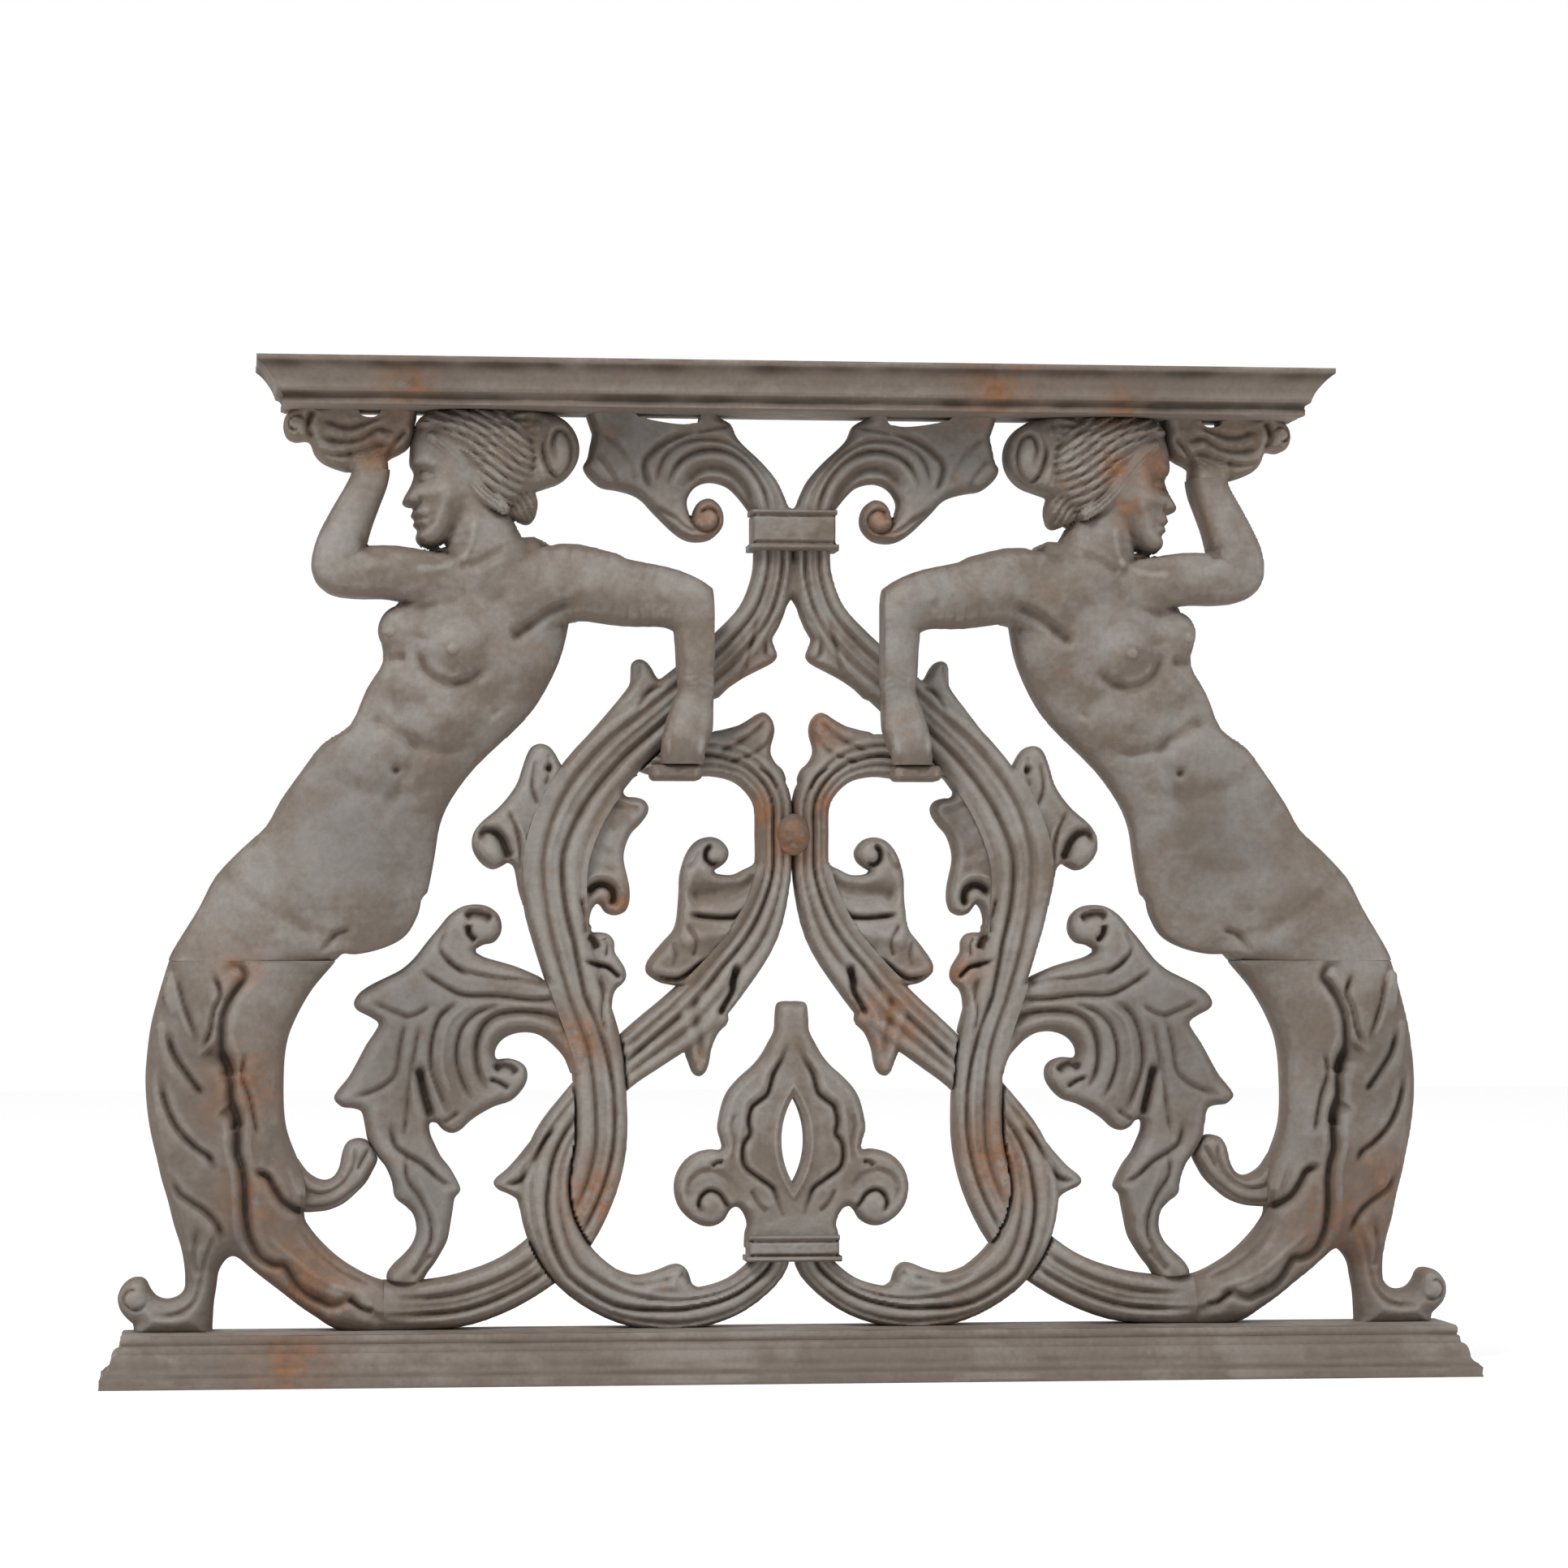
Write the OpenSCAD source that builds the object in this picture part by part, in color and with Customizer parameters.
// Openwork cast iron fireplace front: two moulded rails joined by a mirrored
// panel of winged scrolls, acanthus leaves and two half figures.
// The front looks along -Y, +X is to the right and +Z is up. The origin is
// on the floor, under the middle of the whole front.

/* [Rails] */
// Length of the top rail
top_rail_w = 654; // [600:1:760]
// Height of the top rail
top_rail_h = 28; // [24:1:40]
// Length of the bottom rail
bottom_rail_w = 841; // [830:1:940]
// Height of the bottom rail
bottom_rail_h = 31; // [26:1:40]
// Width of the flat that the panel stands against on both rails
rail_land_d = 54; // [50:1:70]
// How far the top rail's moulding stands out past its underside
top_overhang = 18; // [12:1:24]
// How far the bottom rail's moulding stands out past its top
bottom_overhang = 14; // [10:1:20]

/* [Panel] */
// Clear height between the two rails
panel_h = 557; // [500:1:620]
// Width over the curled feet of the two tails
panel_w = 822; // [780:1:830]
// Distance from the backs of the rails to the back of the panel
back_inset = 6; // [2:1:10]
// How far the right half is drawn in towards the middle at half height
right_draw_in = 6; // [0:0.5:12]
// Working gap between two castings that lie against each other
fit = 0.3; // [0.2:0.05:0.5]

/* [Scrollwork] */
// Width of the long S-shaped stems
stem_w = 32; // [26:1:36]
// Depth of the stems from back to crest
stem_d = 22; // [18:1:26]
// Depth of the leaves from back to crest
leaf_d = 20; // [15:1:24]
// Radius of the ball curls at the leaf ends
curl_r = 11; // [9:0.5:12]

/* [Figures] */
// Depth of the figures' bodies from back to front
body_d = 38; // [32:1:46]
// Radius of the arms at the wrist
wrist_r = 10.5; // [9:0.5:12]

/* [Collars] */
// Width of the upper collar
upper_collar_w = 54; // [50:1:60]
// Height of the upper collar
upper_collar_h = 25; // [20:1:30]
// Width of the lower collar
lower_collar_w = 58; // [54:1:64]
// Height of the lower collar
lower_collar_h = 16; // [14:1:22]
// Wall of both collars
collar_wall = 3; // [3:0.5:5]
// Radius of the domed boss where the two C-scrolls meet
boss_r = 13; // [11:0.5:15]

/* [Screws] */
// Shank diameter of the countersunk screws
screw_d = 6; // [5:0.5:7]
// Head diameter of the countersunk screws
screw_head_d = 12; // [10:0.5:14]
// How far the screws reach into the castings
screw_bite = 12; // [10:1:14]

/* [Hidden] */

// The panel's curves are drawn in half, from the middle line outwards and
// from the bottom rail up, at this size.
drawn_w = 822;
drawn_h = 557;
drawn_stem_w = 32;
drawn_stem_d = 22;
drawn_leaf_d = 20;
kz = panel_h / drawn_h;

base_z = bottom_rail_h;
head_z = bottom_rail_h + panel_h;
rail_back_y = (rail_land_d + top_overhang) / 2;
rail_land_y = rail_back_y - rail_land_d;
back_y = rail_back_y - back_inset;
// How far the beads of the collars stand out
bead = 1;
seam_z = 224;
seam_x = 250;
seam_top = 60;
upper_collar_z = 487;
lower_collar_z = 48;
kiss_z = 301;
bottom_screw_x = [75, 222, 358];
top_screw_x = [110, 200, 272];
screw_y = back_y - stem_d / 2;
// How far cutters run past what they cut, sideways and to the front
beyond = 20;
screw_head_h = (screw_head_d - screw_d) / 2;

// Cross-sections: [place across from -1 to 1, height from 0 at the back to 1]
flute_section = [
  [-1, 0], [-0.86, 0.84], [-0.42, 0.74], [0, 1], [0.42, 0.74], [0.86, 0.84],
  [1, 0]
];
leaf_section = [
  [-1, 0], [-0.9, 0.6], [-0.5, 0.96], [0, 0.7], [0.5, 0.96], [0.9, 0.6], [1, 0]
];
body_section = [
  [-1, 0], [-0.96, 0.45], [-0.6, 0.87], [0, 1], [0.6, 0.87], [0.96, 0.45], [1, 0]
];

// ---- curves ----

function spline(a, b, c, d, t) =
  0.5 * (2 * b + (c - a) * t + (2 * a - 5 * b + 4 * c - d) * t * t
    + (3 * b - a - 3 * c + d) * t * t * t);

// A smooth curve through every point of p, with n steps between neighbours
function smooth(p, n) = [
  for (i = [0 : len(p) - 2], k = [0 : n - 1])
    spline(p[max(i - 1, 0)], p[i], p[i + 1], p[min(i + 2, len(p) - 1)], k / n),
  p[len(p) - 1]
];

function unit(v) = v / norm(v);

function clamp(v) = max(0, min(1, v));

// How far a point of the right half is drawn in: most at half height, and
// nothing at the middle line and the rails
$draw_in = 0;
function drawn_in(p) =
  $draw_in * sin(180 * clamp((p[1] - 20) / 470)) * sin(90 * clamp((p[0] - 70) / 80));

// The middle of the panel, under and over the collars, keeps its width when
// the panel grows wider
drawn_middle = 60;
function spread(x) =
  x < drawn_middle ? x
    : drawn_middle + (x - drawn_middle) * (panel_w / 2 - drawn_middle)
      / (drawn_w / 2 - drawn_middle);

// From the drawing to the panel
function place(p) = [spread(p[0] - drawn_in(p)), base_z + p[1] * kz];

// Stations of a stem, [x, z, half width, depth], as ribs:
// [left x, left z, middle x, middle z, right x, right z, depth]
function stem_ribs(s) = [
  for (i = [0 : len(s) - 1])
    let (a = place(s[max(i - 1, 0)]), b = place(s[min(i + 1, len(s) - 1)]),
      t = unit(b - a), c = place(s[i]), w = s[i][2] * stem_w / drawn_stem_w)
    [c.x - t.y * w, c.y + t.x * w, c.x, c.y, c.x + t.y * w, c.y - t.x * w,
      s[i][3] * stem_d / drawn_stem_d]
];

// Ribs from the drawing, brought to the panel's size, with the depths
// multiplied by deep
function drawn_ribs(r, deep) = [
  for (q = r)
    let (a = place([q[0], q[1]]), b = place([q[2], q[3]]),
      c = place([q[4], q[5]]))
    [a.x, a.y, b.x, b.y, c.x, c.y, q[6] * deep]
];

function rib_point(q, s) =
  let (e = s[0] < 0 ? [q[0], q[1]] : [q[4], q[5]], m = [q[2], q[3]],
    p = m + (e - m) * abs(s[0]))
  [p.x, back_y - s[1] * q[6], p.y];

// +1 where the ribs run so that their left side is on the left of the way
function run_sense(r) =
  let (k = [for (i = [0 : len(r) - 2])
    cross([r[i][4] - r[i][0], r[i][5] - r[i][1]],
      [r[i + 1][2] - r[i][2], r[i + 1][3] - r[i][3]])])
  sign([for (v = k) 1] * k);

// A solid with a flat back over a row of ribs
module relief(ribs, section) {
  n = len(section);
  last = len(ribs) - 1;
  flip = run_sense(ribs) < 0;
  points = [for (q = ribs, s = section) rib_point(q, s)];
  sides = [
    for (i = [0 : last - 1], j = [0 : n - 1])
      let (a = i * n + j, b = i * n + (j + 1) % n)
      each [[a, a + n, b], [b, a + n, b + n]]
  ];
  caps = [
    [for (j = [0 : n - 1]) j],
    [for (j = [n - 1 : -1 : 0]) last * n + j]
  ];
  faces = concat(sides, caps);
  polyhedron(points,
    [for (f = faces) flip ? [for (k = [len(f) - 1 : -1 : 0]) f[k]] : f]);
}

// Flat outline of a stem, drawn from rib to rib, with its edges moved out by
// grow
module band(ribs, grow) {
  offset(delta = grow)
    for (i = [0 : len(ribs) - 2])
      hull()
        let (q = ribs[i], r = ribs[i + 1])
          polygon([[q[0], q[1]], [r[0], r[1]], [r[4], r[5]], [q[4], q[5]]]);
}

// A leaf over a row of drawn ribs
module leaf(ribs, section = leaf_section) {
  relief(drawn_ribs(ribs, leaf_d / drawn_leaf_d), section);
}

// A flat shape stood up in the panel, from y_back forwards by depth
module upright(y_back, depth) {
  translate([0, y_back, 0]) rotate([90, 0, 0])
    linear_extrude(depth) children();
}

function lift(q) = let (p = place([q[0], q[2]])) [p.x, q[1], p.y];

// A rounded mass: balls at [x, y, z, radius], each joined to the next
module mass(points) {
  for (i = [0 : len(points) - 2])
    hull()
      for (q = [points[i], points[i + 1]])
        translate(lift(q)) sphere(q[3], $fn = 7);
}

// A limb: a round tube through [x, y, z, radius]
module limb(points) {
  sides = 8;
  s = smooth(points, 2);
  last = len(s) - 1;
  rings = [
    for (i = [0 : last])
      let (t = unit(lift(s[min(i + 1, last)]) - lift(s[max(i - 1, 0)])),
        u = unit(cross(t, [0, 1, 0])), v = cross(t, u))
      for (k = [0 : sides - 1])
        lift(s[i]) + s[i][3] * (u * cos(k * 360 / sides) + v * sin(k * 360 / sides))
  ];
  faces = [
    for (i = [0 : last - 1], k = [0 : sides - 1])
      let (a = i * sides + k, b = i * sides + (k + 1) % sides)
      each [[a, a + sides, b], [b, a + sides, b + sides]]
  ];
  polyhedron(rings, concat(faces,
    [[for (k = [0 : sides - 1]) k],
    [for (k = [sides - 1 : -1 : 0]) last * sides + k]]));
}

// The rolled end of a leaf: a drum with a hollow in its middle
module curl(c, r) {
  p = place(c);
  for (k = [0 : 3])
    hull()
      for (a = [k * 90 + 20, k * 90 + 110])
        translate([p.x + cos(a) * r * 0.45, back_y, p.y + sin(a) * r * 0.45])
          rotate([90, 0, 0]) cylinder(leaf_d * 0.9, r * 0.55, r * 0.35, $fn = 6);
}

// A small round lobe
module lobe(c, r) {
  p = place(c);
  translate([p.x, back_y, p.y]) rotate([90, 0, 0])
    cylinder(leaf_d * 0.8, r, r * 0.7, $fn = 9);
}

// A raised vein through the drawn points
module vein(points) {
  for (i = [0 : len(points) - 2])
    hull()
      for (q = [points[i], points[i + 1]])
        translate([place(q).x, back_y - leaf_d * 0.6, place(q).y])
          rotate([90, 0, 0]) cylinder(leaf_d * 0.4, 4, 1.5, $fn = 5);
}

// The left or the right half of the panel
module side(s) {
  $draw_in = s > 0 ? right_draw_in : 0;
  mirror([s < 0 ? 1 : 0, 0, 0]) children();
}

// Keeps the two halves apart along the middle line
module clear_of_middle() {
  translate([fit / 2 - panel_w, -panel_w, 0]) cube([panel_w, panel_w * 2, panel_h * 2]);
}

// Cuts stems square inside a collar: above its middle with way 1, below it
// with way -1
module collar_gate(z, gap, way) {
  w = upper_collar_w + lower_collar_w;
  h = upper_collar_h + lower_collar_h;
  translate([-w / 2, -panel_w, base_z + z * kz + way * gap - (way < 0 ? h : 0)])
    cube([w, panel_w * 2, h]);
}

module beyond_rails() {
  span = panel_w * 2;
  translate([-span / 2, -span / 2, base_z - span]) cube([span, span, span]);
  translate([-span / 2, -span / 2, head_z]) cube([span, span, span]);
}

module trimmed() {
  difference() {
    children();
    beyond_rails();
  }
}

// ---- rails ----

// Moulding of the top rail: [set back from the top edge, height]
function top_face() = let (o = top_overhang, h = top_rail_h) concat(
  [[0, h], [0, h * 0.82]],
  [for (a = [0 : 15 : 90])
    [o * (0.06 + 0.32 * (1 - cos(a))), h * (0.8 - 0.38 * sin(a))]],
  [for (a = [0 : 30 : 90])
    [o * (0.44 + 0.24 * sin(a)), h * (0.2 + 0.2 * cos(a))]],
  [[o * 0.76, h * 0.15], [o, 0]]
);

// Moulding of the bottom rail: [set back from the bottom edge, height]
function bottom_face() = let (o = bottom_overhang, h = bottom_rail_h) concat(
  [[0, 0], [0, h * 0.26]],
  [for (a = [0 : 15 : 90])
    [o * (0.06 + 0.38 * sin(a)), h * (0.28 + 0.14 * (1 - cos(a)))]],
  [for (a = [15 : 15 : 90])
    [o * (0.44 + 0.34 * (1 - cos(a))), h * (0.42 + 0.2 * sin(a))]],
  [[o * 0.86, h * 0.66], [o * 0.86, h * 0.9], [o, h]]
);

// A rail with the moulding on its front and returned on both ends
module rail(face, w, front_y) {
  ends = concat(
    [for (p = face) [w / 2 - p[0], p[1]]],
    [for (i = [len(face) - 1 : -1 : 0]) [-w / 2 + face[i][0], face[i][1]]]);
  front = concat(
    [for (p = face) [front_y + p[0], p[1]]],
    [[rail_back_y, face[len(face) - 1][1]], [rail_back_y, face[0][1]]]);
  intersection() {
    rotate([90, 0, 0])
      linear_extrude(w, center = true) polygon(ends);
    rotate([90, 0, 90])
      linear_extrude(w, center = true) polygon(front);
  }
}

module screw(up) {
  mirror([0, 0, up ? 0 : 1]) {
    cylinder(screw_head_h, screw_head_d / 2, screw_d / 2);
    cylinder(screw_run(up), screw_d / 2, screw_d / 2);
  }
}

function screw_run(up) = (up ? bottom_rail_h : top_rail_h) + screw_bite;

module screw_bore(up) {
  gap = fit / 2;
  mirror([0, 0, up ? 0 : 1]) {
    translate([0, 0, -gap])
      cylinder(3 * gap, screw_head_d / 2 + gap, screw_head_d / 2 + gap);
    translate([0, 0, gap])
      cylinder(screw_head_h, screw_head_d / 2 + gap, screw_d / 2 + gap);
    cylinder(screw_run(up) + fit, screw_d / 2 + gap, screw_d / 2 + gap);
  }
}

module at_bottom_screws() {
  for (s = [-1, 1], x = bottom_screw_x)
    translate([s * spread(x), screw_y, 0]) children();
}

module at_top_screws() {
  for (s = [-1, 1], x = top_screw_x)
    translate([s * spread(x), screw_y, head_z + top_rail_h]) children();
}

module bottom_bores() {
  at_bottom_screws() screw_bore(true);
}

module top_bores() {
  at_top_screws() screw_bore(false);
}

module top_rail() {
  color("dimgray")
    difference() {
      translate([0, 0, head_z])
        rail(top_face(), top_rail_w, rail_land_y - top_overhang);
      top_bores();
    }
}

module bottom_rail() {
  color("dimgray")
    difference() {
      rail(bottom_face(), bottom_rail_w, rail_land_y - bottom_overhang);
      bottom_bores();
    }
}

module bottom_screws() {
  color("darkslategray") at_bottom_screws() screw(true);
}

module top_screws() {
  color("darkslategray") at_top_screws() screw(false);
}

// ---- scrollwork ----

// The S-stem, from the upper collar round to the seam with the tail
s_path = [
  [11.6, 478, 11.6, 20], [12.4, 458, 12.2, 20], [20.5, 434, 13.5, 20], [39, 412, 15, 19],
  [62, 392, 15, 19], [86, 371, 17, 19], [112, 348, 19, 20], [133, 320, 20, 21],
  [145, 290, 20, 22], [146, 262, 19, 22], [140, 232, 17, 22],
  [130.5, 202, 16.5, 22], [121, 172, 16, 22], [118, 142, 16, 22],
  [118, 110, 16, 22], [126, 80, 16, 21], [142.5, 51.5, 16, 20],
  [169, 30.5, 15.5, 20], [200, 18, 16, 20], [228, 14.5, 15, 20],
  [250, 14.5, 15.5, 20]
];

// The C-scroll, from the lower collar round to the top of the S-stem
c_path = [
  [12.5, 50, 11.5, 20], [15, 36, 10.8, 20], [34, 19.5, 11, 20], [58, 11.5, 12, 20],
  [84, 11, 13, 20], [109, 19, 14.5, 20], [133, 36.5, 15.5, 21],
  [148, 61, 15.5, 22], [152, 88, 15, 22], [145, 113, 14, 20],
  [129, 135, 13.5, 19], [109, 156.5, 14, 19], [87, 174, 16, 20],
  [62, 193, 17.5, 20], [40.5, 216.5, 16, 20], [22.5, 243, 14.5, 20],
  [12.5, 274, 11.4, 20], [11.4, 301, 11, 20], [13, 325, 11.5, 20],
  [28, 343, 12, 20], [50, 350, 13, 20], [74, 348, 13, 20], [96, 352, 11, 19]
];

s_steps = 2;
c_steps = 2;

function s_line() = smooth(s_path, s_steps);
function c_line() = smooth(c_path, c_steps);

// The ribs of a line between two stations of its path
function ribs_of(line, steps, a, b) =
  let (r = stem_ribs(line)) [for (i = [a * steps : b * steps]) r[i]];

// Mid depths of the half laps where the stems cross, and the height where the
// C-scroll changes from the front of the S-stem to its back
low_lap_y = back_y - stem_d * 0.45;
high_lap_y = back_y - stem_d * 0.5;
lap_z = 98;

module s_shadow(a, b, grow, y_back, depth) {
  upright(y_back, depth) band(ribs_of(s_line(), s_steps, a, b), grow);
}

module c_shadow(a, b, grow, y_back, depth) {
  upright(y_back, depth) band(ribs_of(c_line(), c_steps, a, b), grow);
}

// The part of the children below the height where the laps change, or above it
module lap_side(above) {
  z = base_z + lap_z * kz;
  intersection() {
    children();
    translate([-panel_w, -panel_w, above ? z - fit / 2 : z + fit / 2 - panel_h])
      cube([panel_w * 2, panel_w * 2, panel_h]);
  }
}

module s_stem() {
  trimmed()
    difference() {
      union() {
        relief(stem_ribs(s_line()), flute_section);
        // lobe under the collar
        leaf([
          [28, 402, 40, 408, 52, 412, 8], [15, 403, 32, 418, 44, 420, 16],
          [7, 411, 24, 427, 36, 430, 16], [10, 423, 17, 434, 28, 438, 12]
        ]);
        // two small lobes under the inner leaf
        lobe([113, 234], 8.2);
        lobe([106, 219], 7.2);
        leaf([
          [128, 226, 119, 216, 112, 208, 13], [126, 240, 116, 232, 108, 222, 15],
          [124, 246, 114, 240, 106, 228, 12]
        ]);
        // spur behind the resting hand
        leaf([
          [78, 372, 86, 370, 94, 366, 14], [82, 388, 90, 384, 99, 380, 16],
          [88, 402, 93, 400, 100, 396, 14], [93, 407, 95, 406, 98, 404, 8]
        ]);
      }
      // half lap under the C-scroll at the bottom
      lap_side(false) c_shadow(5, 10, fit, low_lap_y, stem_d);
      // half lap over the C-scroll at the top
      lap_side(true) c_shadow(8, 13, fit, back_y + 1, back_y + 1 - high_lap_y);
      // square shoulder at the seam with the tail
      translate([spread(seam_x) - fit / 2, -panel_w, 0])
        cube([panel_w, panel_w * 2, base_z + seam_top * kz]);
      clear_of_middle();
      collar_gate(upper_collar_z, -fit / 2, 1);
      bottom_bores();
    }
}

module c_scroll() {
  trimmed()
    difference() {
      union() {
        relief(stem_ribs(c_line()), flute_section);
        // spur outside the lower crossing
        leaf([
          [150, 110, 146, 100, 142, 92, 12], [164, 116, 160, 104, 158, 88, 14],
          [174, 104, 172, 98, 166, 84, 12], [183, 90, 182, 88, 172, 82, 7]
        ]);
        // curled leaf along the bottom
        leaf([
          [116, 44, 112, 36, 112, 28, 14], [100, 34, 98, 28, 98, 22, 18],
          [86, 29, 85, 24, 84, 16, 18], [72, 34, 72, 26, 70, 16, 16],
          [64, 34, 66, 26, 62, 18, 10]
        ]);
        // leaf tip that hangs below the upper arm
        leaf([
          [66, 206, 58, 200, 48, 192, 16], [66, 186, 58, 184, 48, 178, 16],
          [62, 168, 56, 166, 50, 168, 12], [57, 156, 56, 156, 55, 157, 7]
        ]);
        // leaf tip that points to the middle at the top
        leaf([
          [56, 346, 50, 356, 52, 362, 14], [40, 348, 36, 358, 38, 366, 14],
          [24, 348, 22, 360, 26, 369, 12], [16, 356, 14, 364, 14, 373, 7]
        ]);
      }
      // half lap over the S-stem at the bottom
      lap_side(false) s_shadow(13, 18, fit, back_y + 1, back_y + 1 - low_lap_y);
      // half lap under the S-stem at the top
      lap_side(true) s_shadow(10, 15, fit, high_lap_y, stem_d);
      // butt against the side of the S-stem
      s_shadow(4, 8, fit, back_y + 1, stem_d + beyond);
      clear_of_middle();
      collar_gate(lower_collar_z, -fit / 2, 1);
      boss_bore();
      bottom_bores();
    }
}

// ---- leaves ----

module crown_leaf() {
  trimmed()
    difference() {
      union() {
        leaf([
          [0, 482, 11.5, 482, 23.4, 482, 20], [2, 501, 13, 501, 23.4, 501, 20],
          [5, 508, 16, 507, 27, 505, 20],
          [12, 524, 25, 520, 37, 515, 20], [26, 544, 41, 532, 55, 519, 20],
          [42, 558, 54, 538, 65, 514, 19], [60, 560, 64, 534, 68, 506, 18]
        ], flute_section);
        leaf([
          [42, 558, 54, 536, 64, 512, 16], [66, 561, 67, 530, 66, 496, 18],
          [80, 551, 80, 525, 63, 482, 18], [92, 561, 92, 526, 78, 490, 18],
          [108, 561, 105, 530, 95, 507, 18], [123, 561, 117, 534, 112, 512, 15],
          [138, 561, 130, 545, 124, 522, 10]
        ]);
        leaf([
          [74, 502, 66, 500, 62, 504, 16], [63, 481, 60, 487, 56, 494, 16],
          [50, 482, 51, 488, 52, 494, 16]
        ]);
        vein([[13, 490], [24, 519], [40, 533], [60, 535], [80, 530], [104, 531]]);
        curl([55, 496], curl_r * 1.1);
      }
      clear_of_middle();
      collar_gate(upper_collar_z, fit / 2, -1);
      top_bores();
    }
}

module circle_leaf() {
  trimmed()
    difference() {
      union() {
        leaf([
          [150, 217, 140, 200, 130, 176, 18], [164, 218, 156, 198, 146, 176, 19],
          [184, 225, 172, 201, 160, 177, 20], [212, 238, 194, 202, 176, 178, 20],
          [238, 222, 214, 194, 184, 166, 20], [266, 203, 228, 180, 190, 152, 20],
          [253, 186, 234, 164, 196, 142, 19], [264, 160, 240, 150, 208, 124, 19],
          [279, 142, 242, 138, 220, 126, 18], [262, 132, 240, 125, 222, 119, 18],
          [252, 103, 233, 104, 211, 98, 17], [241, 77, 224, 82, 204, 85, 16],
          [230, 59, 220, 62, 208, 57, 16], [240, 42, 230, 44, 219, 41, 16],
          [248, 30, 238, 30, 226, 30, 14], [248, 14, 238, 14, 226, 14, 12]
        ]);
        leaf([
          [225, 238, 214, 230, 196, 222, 14], [213, 246, 205, 238, 195, 231, 16],
          [200, 257, 195, 250, 190, 244, 14]
        ]);
        leaf([
          [186, 180, 196, 158, 204, 136, 14], [178, 172, 184, 156, 190, 134, 16],
          [172, 166, 173, 156, 178, 145, 14]
        ]);
        curl([189, 245], curl_r);
        curl([172, 156], curl_r);
      }
      s_shadow(8, 20, fit, back_y + 1, stem_d + beyond);
      tail_shadow();
    }
}

module outer_leaf() {
  difference() {
    union() {
      leaf([
        [136, 232, 140, 238, 150, 246, 14], [160, 236, 152, 256, 144, 262, 18],
        [170, 262, 157, 276, 146, 282, 18], [175, 284, 161, 292, 148, 300, 18],
        [183, 305, 166, 310, 150, 314, 18], [176, 325, 162, 328, 144, 326, 18],
        [168, 340, 158, 343, 142, 338, 16], [161, 352, 154, 352, 144, 344, 12],
        [157, 358, 153, 357, 148, 352, 7]
      ]);
      curl([185, 292], curl_r * 1.15);
    }
    s_shadow(5, 13, fit, back_y + 1, stem_d + beyond);
  }
}

module inner_leaf() {
  difference() {
    union() {
      leaf([
        [132, 250, 128, 252, 124, 254, 12], [134, 262, 128, 264, 120, 262, 15],
        [134, 280, 118, 272, 100, 263, 17], [134, 292, 118, 286, 100, 276, 17],
        [132, 302, 116, 298, 102, 297, 16], [126, 314, 110, 310, 96, 306, 16],
        [120, 326, 104, 320, 90, 315, 14], [110, 340, 102, 332, 96, 328, 10]
      ]);
      curl([111, 265], curl_r);
    }
    s_shadow(5, 14, fit, back_y + 1, stem_d + beyond);
  }
}

module kiss_leaf() {
  difference() {
    union() {
      leaf([
        [56, 206, 50, 208, 44, 210, 12], [70, 210, 58, 218, 42, 222, 15],
        [87, 217, 66, 228, 38, 232, 17], [80, 234, 58, 240, 32, 246, 17],
        [71, 252, 50, 254, 22, 262, 18], [70, 270, 48, 272, 16, 280, 18],
        [67, 284, 52, 284, 30, 284, 16]
      ]);
      leaf([
        [70, 272, 56, 272, 40, 272, 14], [67, 284, 58, 284, 44, 282, 14],
        [64, 292, 58, 290, 48, 286, 12]
      ]);
      curl([52, 288], curl_r * 0.95);
    }
    c_shadow(10, 18, fit, back_y + 1, stem_d + beyond);
  }
}

tendril_path = [
  [316, 96, 6, 12], [304, 88, 9, 13], [292, 82, 10, 14], [278, 88, 10, 15],
  [269, 100, 9, 15], [265, 114, 7, 13]
];

module tendril() {
  difference() {
    union() {
      relief(stem_ribs(smooth(tendril_path, 2)), leaf_section);
      curl([267, 107], curl_r * 0.75);
    }
    tail_shadow();
    leaf_shadow();
  }
}

// ---- tails ----

// Depths as shares of the body's depth
tail_ribs = [
  [281, seam_z, 330, seam_z, 382, seam_z, 0.8],
  [297, 201, 342, 201, 387, 201, 0.78], [305, 181, 348, 181, 390, 181, 0.76],
  [309, 157, 351, 157, 393, 157, 0.74], [310, 127, 351, 127, 391, 129, 0.72],
  [305, 107, 346, 104, 386, 100, 0.68], [300, 90, 334, 82, 366, 74, 0.62],
  [294, 68, 318, 56, 343, 43, 0.56], [283, 51, 302, 39, 322, 25, 0.52],
  [268, 37, 282, 23, 298, 6, 0.5], [252, 29.5, 256, 15, 262, -3, 0.5],
  [240, 29.5, 240, 15, 240, -5, 0.5]
];

foot_ribs = [
  [336, 108, 362, 108, 388, 108, 0.62], [341, 70, 361, 70, 381, 70, 0.62],
  [345, 46, 359, 44, 373, 42, 0.58], [350, 26, 360, 25, 370, 26, 0.54],
  [356, 2, 365, 12, 374, 20, 0.52], [368, -5, 374, 6, 380, 17, 0.5],
  [386, -4, 386, 6, 386, 17, 0.48], [401, 0, 397, 9, 391, 18, 0.46],
  [411, 12, 403, 17, 394, 21, 0.44], [412, 24, 404, 26, 396, 25, 0.42]
];

module tail_shadow() {
  r = drawn_ribs(tail_ribs, body_d);
  upright(back_y + 1, body_d + beyond)
    offset(fit)
      polygon(concat([for (q = r) [q[0], q[1]]],
        [for (i = [len(r) - 1 : -1 : 0]) [r[i][4], r[i][5]]]));
}

module leaf_shadow() {
  upright(back_y + 1, body_d + beyond)
    offset(fit)
      polygon([for (p = [[279, 142], [262, 132], [252, 103], [241, 77],
        [205, 85], [211, 98], [222, 120]]) place(p)]);
}

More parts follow.
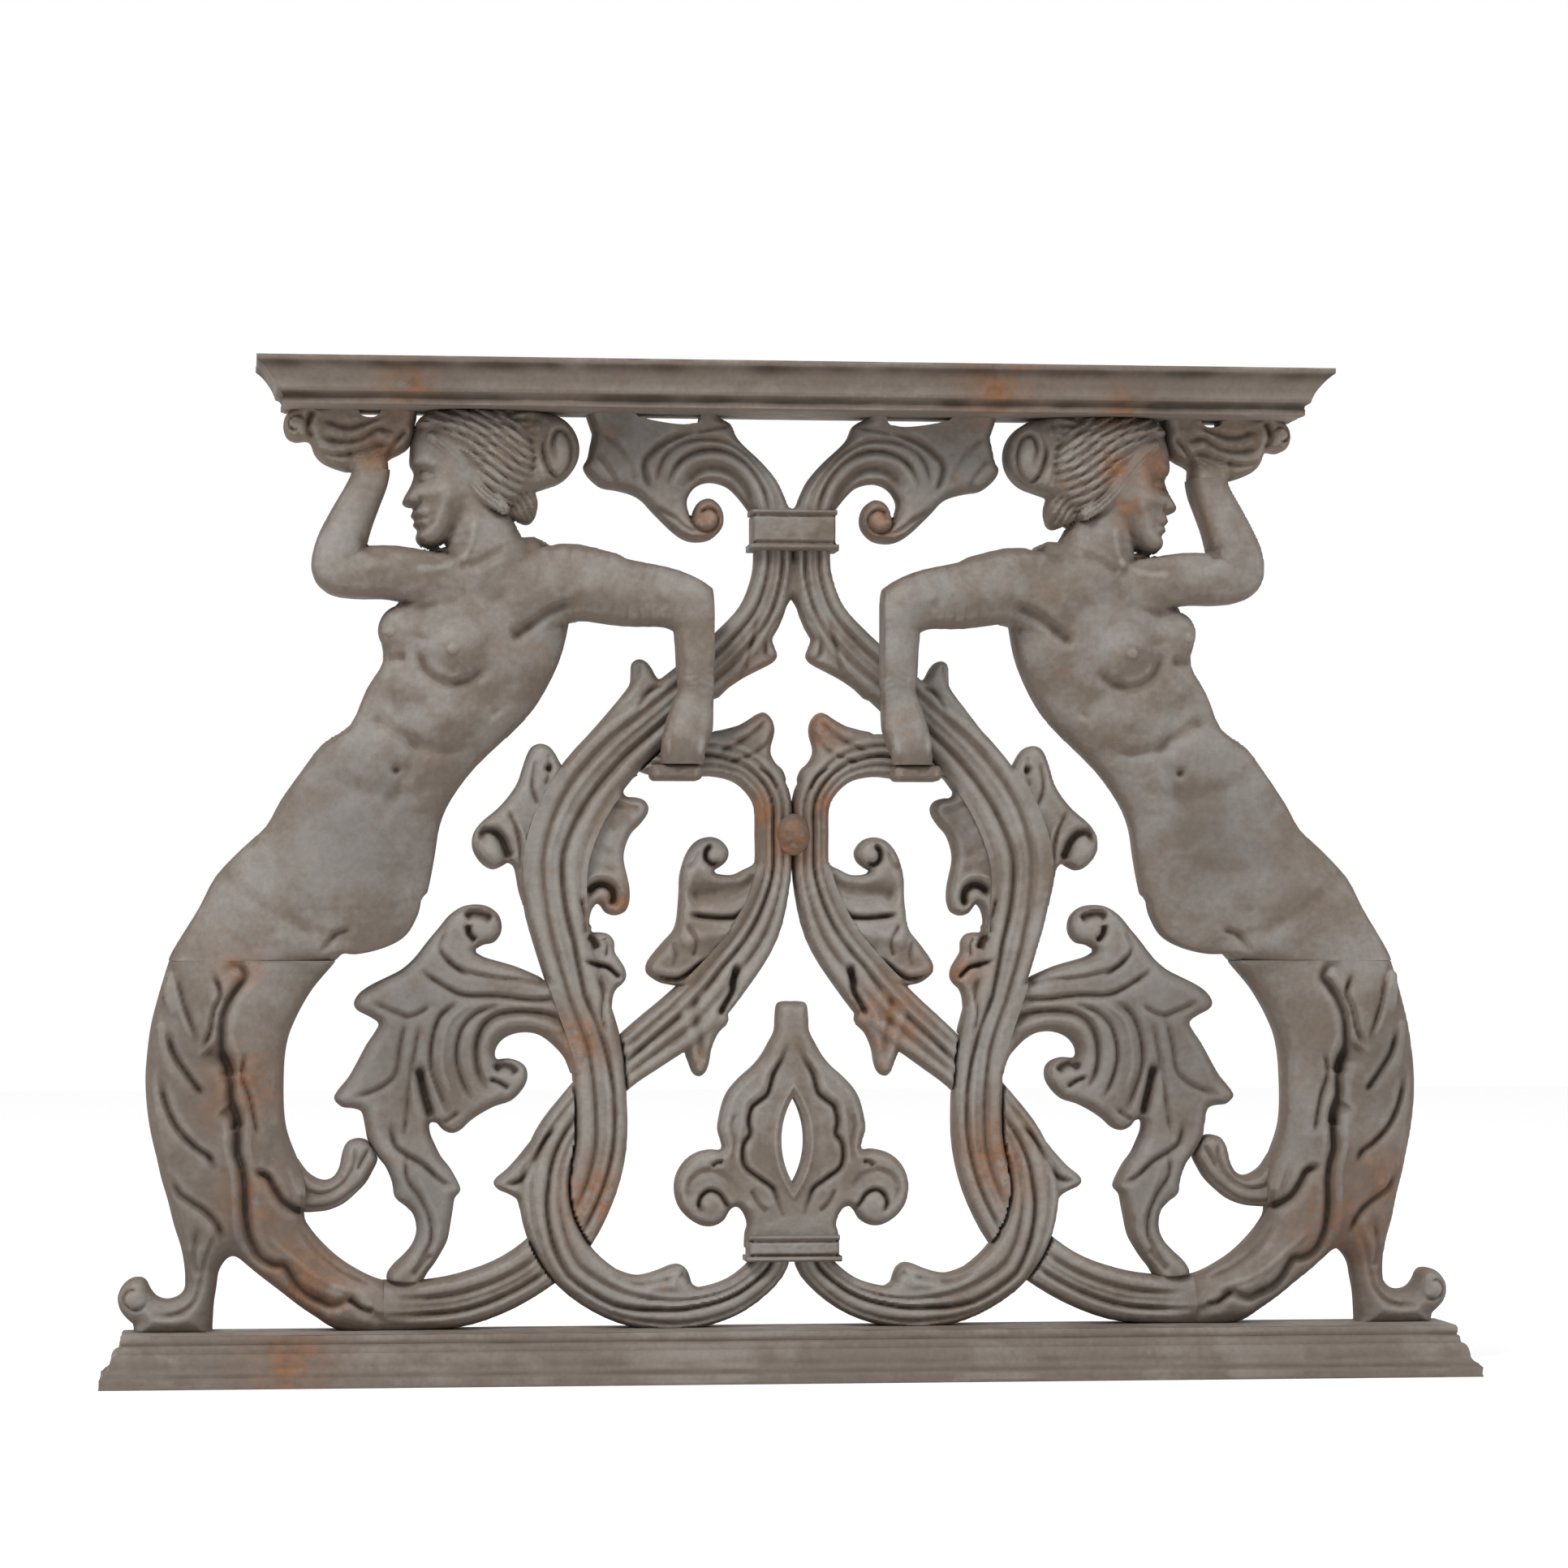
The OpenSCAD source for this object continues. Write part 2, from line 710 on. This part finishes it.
tail_folds = [
  [[352, 216], [345, 198], [350, 178], [347, 158], [352, 138], [354, 118]],
  [[373, 190], [362, 164], [359, 140]], [[322, 182], [328, 156], [326, 132]]
];

module tail() {
  trimmed()
    difference() {
      union() {
        relief(drawn_ribs(tail_ribs, body_d), body_section);
        relief(drawn_ribs(smooth(foot_ribs, 2), body_d), body_section);
        curl([403, 24], curl_r * 0.85);
      }
      for (f = tail_folds, i = [0 : len(f) - 2])
        hull()
          for (q = [f[i], f[i + 1]])
            translate(lift([q[0], back_y - body_d * 0.55, q[1]]))
              rotate([90, 0, 0]) cylinder(body_d, 0, 12, $fn = 4);
      translate([0, -panel_w, 0])
        cube([spread(seam_x) + fit / 2, panel_w * 2, base_z + seam_top * kz]);
      translate([0, -panel_w, base_z + seam_z * kz - fit / 2])
        cube([panel_w, panel_w * 2, panel_h]);
      bottom_bores();
    }
}

// ---- figures ----

torso_ribs = [
  [279, 218, 330, 218, 383, 218, 0.8], [262, 228, 320, 228, 379, 228, 0.8],
  [246, 230, 308, 233, 374, 238, 0.86], [236, 240, 298, 246, 364, 255, 0.88],
  [228, 255, 288, 262, 351, 275, 0.88], [222, 272, 278, 280, 335, 292, 0.84],
  [219, 288, 269, 296, 321, 305, 0.8], [216, 306, 263, 314, 312, 321, 0.76],
  [209, 322, 253, 330, 300, 338, 0.76], [194, 342, 241, 350, 287, 355, 0.8],
  [171, 364, 221, 368, 270, 367, 0.86], [157, 380, 209, 386, 260, 389, 0.9],
  [144, 405, 199, 408, 250, 406, 0.92], [138, 428, 193, 430, 251, 425, 0.9],
  [136, 450, 188, 450, 240, 443, 0.84], [140, 470, 186, 470, 234, 462, 0.74],
  [158, 482, 188, 482, 220, 474, 0.6]
];

// Level of the raised palm, where the cushion lies, and of the resting hand,
// with the inner end of the one and the outer end of the other
palm_z = 521;
palm_x = 237;
rest_z = 343;
rest_x = 110;
arm_y = back_y - body_d * 0.5;
hand_y = back_y - body_d * 0.95;

module torso() {
  relief(drawn_ribs(torso_ribs, body_d), body_section);
  // breasts
  mass([[202, back_y - body_d * 0.66, 416, 18],
    [206, back_y - body_d * 0.86, 408, 13]]);
  mass([[236, back_y - body_d * 0.5, 426, 14],
    [240, back_y - body_d * 0.64, 421, 12]]);
}

module arms() {
  // raised arm that holds the cushion
  limb([[206, arm_y, 460, 18], [244, arm_y, 458, 16.5], [270, arm_y, 458, 16.5],
    [279, arm_y, 469, 15.5], [268, arm_y, 490, 14.5],
    [255, arm_y, 511, wrist_r + 1.5], [251, arm_y, 528, wrist_r + 1]]);
  // arm that rests on the block
  limb([[168, arm_y, 453, 22], [134, arm_y, 454, 23], [102, arm_y - 6, 447, 20],
    [70, hand_y, 441, 16.5], [59, hand_y, 426, 16.5], [59, hand_y, 396, 16],
    [64, hand_y, 372, 14], [69, hand_y, 358, wrist_r + 2],
    [72, hand_y, 338, wrist_r + 1]]);
}

module head() {
  y = back_y - body_d * 0.55;
  // neck
  mass([[182, y, 470, 20], [190, y, 492, 18]]);
  // skull and jaw
  mass([[191, y - 4, 524, 36], [208, y - 6, 508, 26], [217, y - 8, 493, 14]]);
  // nose
  mass([[228, y - 20, 518, 4], [233, y - 22, 508, 5]]);
  // hair drawn back to the knot
  mass([[212, y - 10, 542, 23], [186, y - 8, 538, 32], [162, y - 4, 533, 28],
    [146, y, 532, 17]]);
  mass([[172, y, 510, 21], [164, y, 494, 12]]);
}

module figure() {
  trimmed()
    difference() {
      union() {
        torso();
        arms();
        head();
      }
      translate([0, back_y, 0]) cube([panel_w, body_d, panel_h * 2]);
      translate([0, -panel_w, 0])
        cube([panel_w, panel_w * 2, base_z + seam_z * kz + fit / 2]);
      translate([spread(palm_x), -panel_w, base_z + palm_z * kz])
        cube([panel_w, panel_w * 2, panel_h]);
      translate([0, -panel_w, 0])
        cube([spread(rest_x), panel_w * 2, base_z + rest_z * kz + fit]);
      top_bores();
    }
}

module cushion() {
  trimmed()
    difference() {
      union() {
        relief(drawn_ribs([
          [236, 522, 236, 542, 236, 561, 0.3], [244, 519, 244, 541, 244, 562, 0.6],
          [262, 516, 262, 540, 262, 562, 0.8], [280, 519, 280, 541, 280, 562, 0.8],
          [292, 528, 291, 544, 290, 562, 0.62], [300, 540, 299, 549, 298, 561, 0.5]
        ], body_d), body_section);
        curl([300, 549], curl_r);
      }
      translate([0, -panel_w, 0])
        cube([panel_w, panel_w * 2, base_z + palm_z * kz + fit]);
      // clear of the head
      translate([0, -panel_w, 0])
        cube([place([238, palm_z]).x, panel_w * 2, head_z]);
      top_bores();
    }
}

// The block reaches from the front of the hand back to the stems
module hand_block() {
  p = place([58, 333]);
  q = place([90, rest_z]);
  front_y = hand_y - body_d * 0.36;
  translate([p.x, front_y, p.y])
    cube([q.x - p.x, back_y - stem_d - fit - front_y, q.y - p.y]);
}

// ---- middle pieces ----

fleur_outline = [
  [0, 197], [5.5, 197], [6, 186], [9, 176], [18, 164], [30, 149], [41, 134],
  [45, 119], [43, 104], [37, 94], [38, 88], [34, 76], [27, 66], [26, 60]
];

module fleur_shape() {
  half = [for (p = smooth(fleur_outline, 2)) place(p)];
  polygon(concat(half,
    [for (i = [len(half) - 1 : -1 : 0]) [-half[i].x, half[i].y]]));
}

module fleur_de_lis() {
  eye = place([0, 114]);
  volute = place([50, 84]);
  eye_h = 27 * kz;
  eye_w = 7.5;
  bow = (eye_h * eye_h + eye_w * eye_w) / (2 * eye_w);
  neck = place([0, 60]).y;
  volute_r = 21;
  foot_w = lower_collar_w - 4 * collar_wall;
  color("gray")
    difference() {
      union() {
        upright(back_y, leaf_d * 0.7) fleur_shape();
        upright(back_y, leaf_d) offset(-5) fleur_shape();
        for (s = [-1, 1])
          translate([s * volute.x, back_y, volute.y]) rotate([90, 0, 0]) {
            cylinder(leaf_d * 0.75, r = volute_r);
            cylinder(leaf_d * 0.95, r = volute_r * 0.4);
          }
        translate([-foot_w / 2, back_y - leaf_d * 0.8, base_z + lower_collar_z * kz])
          cube([foot_w, leaf_d * 0.8, neck - base_z - lower_collar_z * kz + collar_wall]);
      }
      upright(back_y + 1, leaf_d + 2)
        intersection() {
          translate([bow - eye_w, eye.y]) circle(bow);
          translate([eye_w - bow, eye.y]) circle(bow);
        }
      collar_gate(lower_collar_z, fit / 2, -1);
    }
}

// A collar round the stems that it holds: a square tube lying in the panel,
// with a bead round it above and below
module collar(w, h, z) {
  hole_w = w - 2 * collar_wall;
  depth = stem_d + 2 * collar_wall;
  translate([0, back_y + collar_wall, base_z + z * kz]) {
    difference() {
      union() {
        translate([-w / 2 + bead, -depth, -h / 2]) cube([w - 2 * bead, depth, h]);
        for (s = [-1, 1])
          translate([-w / 2, -depth - bead, s * h * 0.36 - h * 0.14])
            cube([w, depth + 2 * bead, h * 0.28]);
      }
      translate([-hole_w / 2, collar_wall - depth, -h])
        cube([hole_w, stem_d + 2 * fit, h * 2]);
    }
  }
}

module upper_collar() {
  color("gray")
    collar(upper_collar_w, upper_collar_h, upper_collar_z);
}

module lower_collar() {
  color("gray")
    collar(lower_collar_w, lower_collar_h, lower_collar_z);
}

module boss_bore() {
  translate([0, back_y + 1, base_z + kiss_z * kz]) rotate([90, 0, 0])
    cylinder(stem_d + beyond, screw_d / 2 + fit, screw_d / 2 + fit, $fn = 24);
}

module centre_boss() {
  front = back_y - stem_d * 0.92;
  dome_r = boss_r * 1.3;
  rise = boss_r * 0.46;
  color("sienna")
    translate([0, 0, base_z + kiss_z * kz]) rotate([90, 0, 0]) {
      translate([0, 0, -back_y]) cylinder(stem_d, d = screw_d);
      translate([0, 0, -front])
        intersection() {
          translate([0, 0, rise - dome_r]) sphere(dome_r, $fn = 48);
          cylinder(boss_r, r = boss_r, $fn = 48);
        }
    }
}

// ---- left and right nodes ----

module left_figure() { color("slategray") side(-1) figure(); }
module right_figure() { color("slategray") side(1) figure(); }
module left_cushion() { color("rosybrown") side(-1) cushion(); }
module right_cushion() { color("rosybrown") side(1) cushion(); }
module left_tail() { color("dimgray") side(-1) tail(); }
module right_tail() { color("dimgray") side(1) tail(); }
module left_tendril() { color("gray") side(-1) tendril(); }
module right_tendril() { color("gray") side(1) tendril(); }
module left_s_stem() { color("gray") side(-1) s_stem(); }
module right_s_stem() { color("gray") side(1) s_stem(); }
module left_c_scroll() { color("dimgray") side(-1) c_scroll(); }
module right_c_scroll() { color("dimgray") side(1) c_scroll(); }
module left_crown_leaf() { color("darkgray") side(-1) crown_leaf(); }
module right_crown_leaf() { color("darkgray") side(1) crown_leaf(); }
module left_circle_leaf() { color("darkgray") side(-1) circle_leaf(); }
module right_circle_leaf() { color("darkgray") side(1) circle_leaf(); }
module left_outer_leaf() { color("darkgray") side(-1) outer_leaf(); }
module right_outer_leaf() { color("darkgray") side(1) outer_leaf(); }
module left_inner_leaf() { color("darkgray") side(-1) inner_leaf(); }
module right_inner_leaf() { color("darkgray") side(1) inner_leaf(); }
module left_kiss_leaf() { color("darkgray") side(-1) kiss_leaf(); }
module right_kiss_leaf() { color("darkgray") side(1) kiss_leaf(); }
module left_hand_block() { color("rosybrown") side(-1) hand_block(); }
module right_hand_block() { color("rosybrown") side(1) hand_block(); }

top_rail();
bottom_rail();
left_figure();
right_figure();
left_cushion();
right_cushion();
left_tail();
right_tail();
left_tendril();
right_tendril();
left_s_stem();
right_s_stem();
left_c_scroll();
right_c_scroll();
left_crown_leaf();
right_crown_leaf();
left_circle_leaf();
right_circle_leaf();
left_outer_leaf();
right_outer_leaf();
left_inner_leaf();
right_inner_leaf();
left_kiss_leaf();
right_kiss_leaf();
left_hand_block();
right_hand_block();
fleur_de_lis();
upper_collar();
lower_collar();
centre_boss();
top_screws();
bottom_screws();
